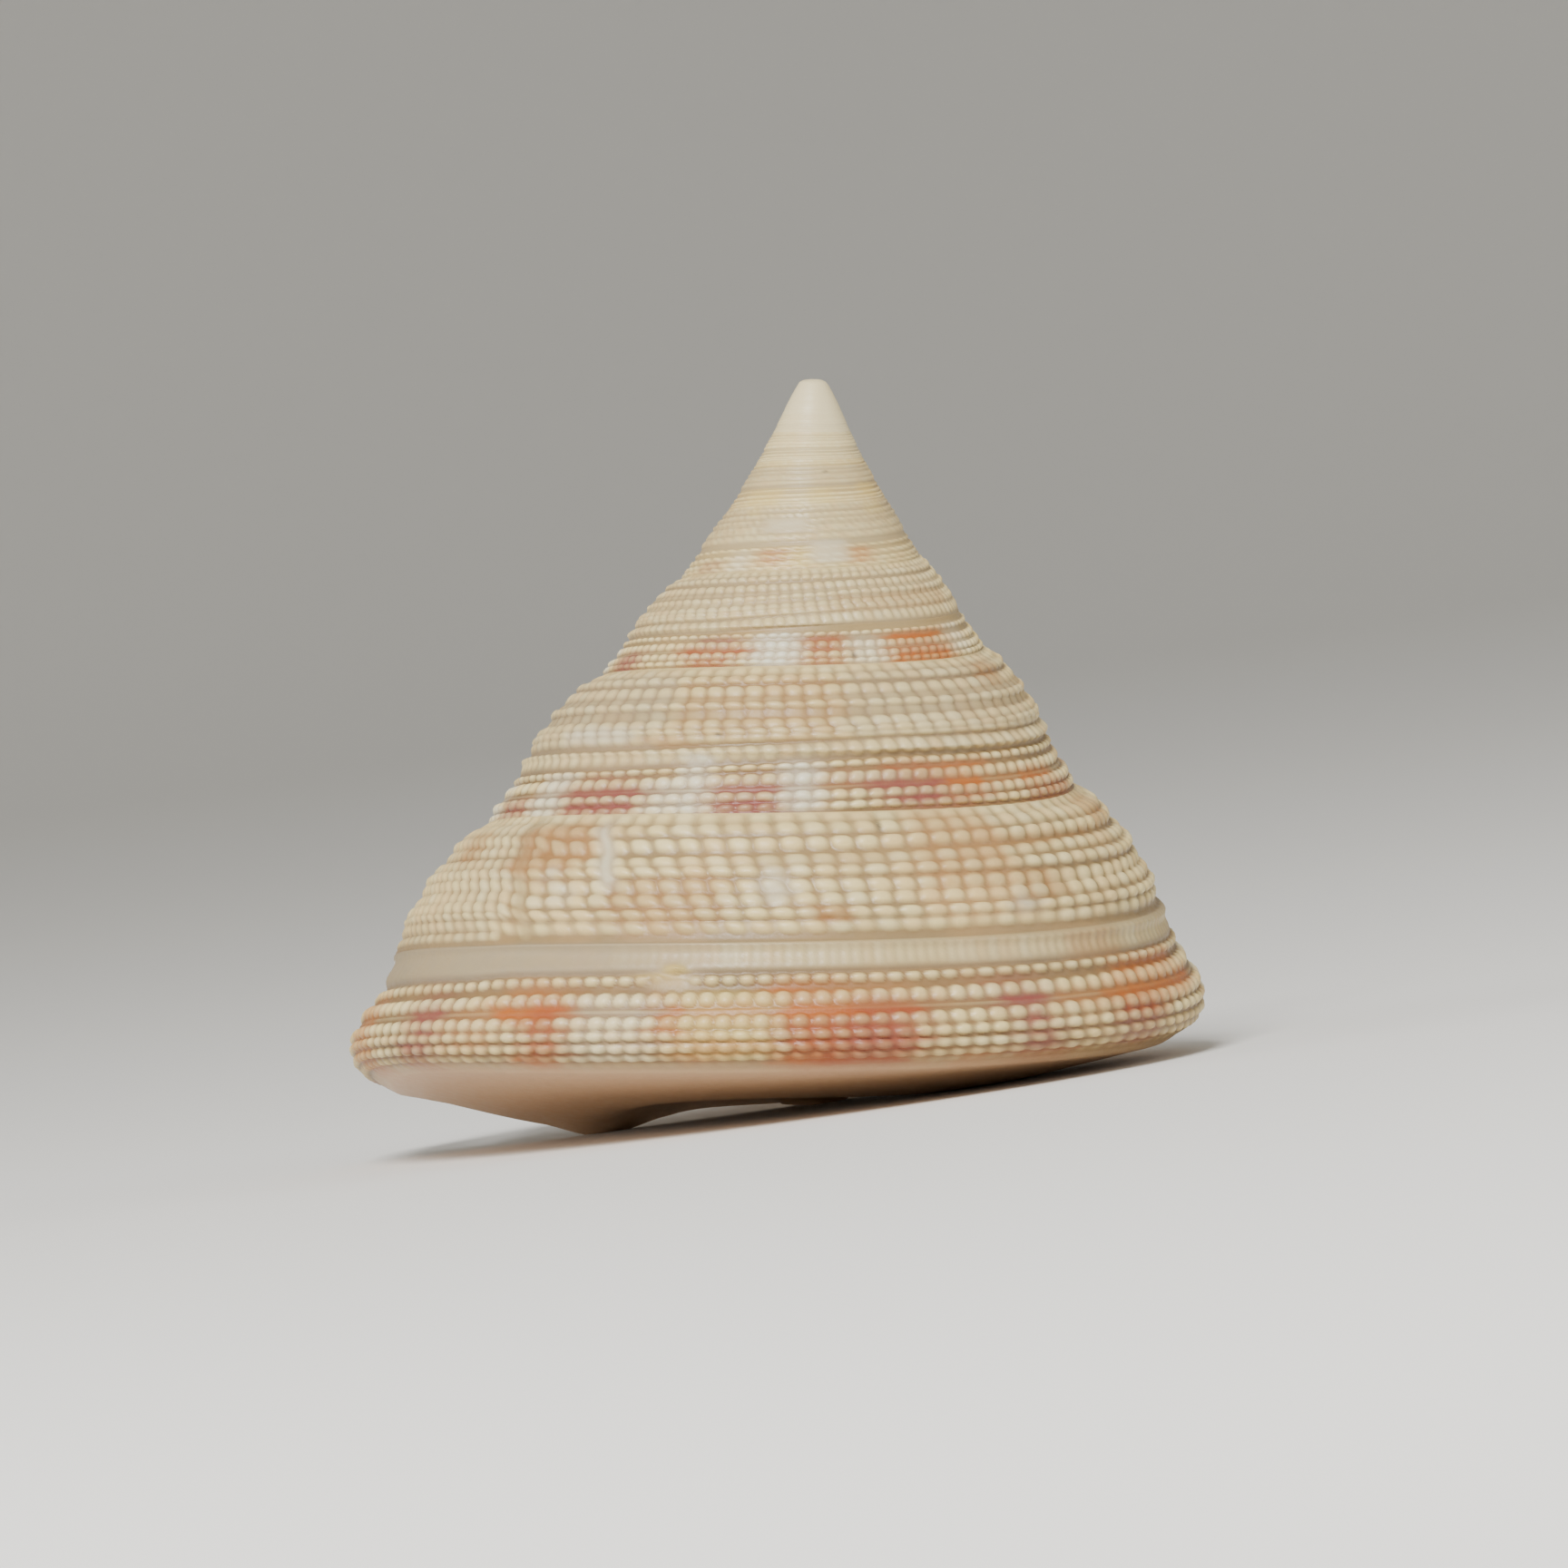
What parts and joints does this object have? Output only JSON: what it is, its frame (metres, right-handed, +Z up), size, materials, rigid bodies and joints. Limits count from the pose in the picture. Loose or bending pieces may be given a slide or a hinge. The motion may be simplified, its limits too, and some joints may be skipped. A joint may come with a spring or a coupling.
{
  "type": "slit shell",
  "caption": "Cone-shaped sea snail shell coiled to the right, with a beaded spire, a rounded base and a mouth with an open slit in its lip.",
  "frame": {"origin": "middle of the shell's box at the surface that it rests on", "axes": "+Z up from the surface, +X to the shell's right as the picture shows it, -Y towards the viewer, and the mouth opens towards +Y and -X"},
  "size_m": [0.0502, 0.0458, 0.0421],
  "materials": {
    "shell": "satin"
  },
  "bodies": {
    "root": {"shell": "shell"}
  },
  "joints": []
}
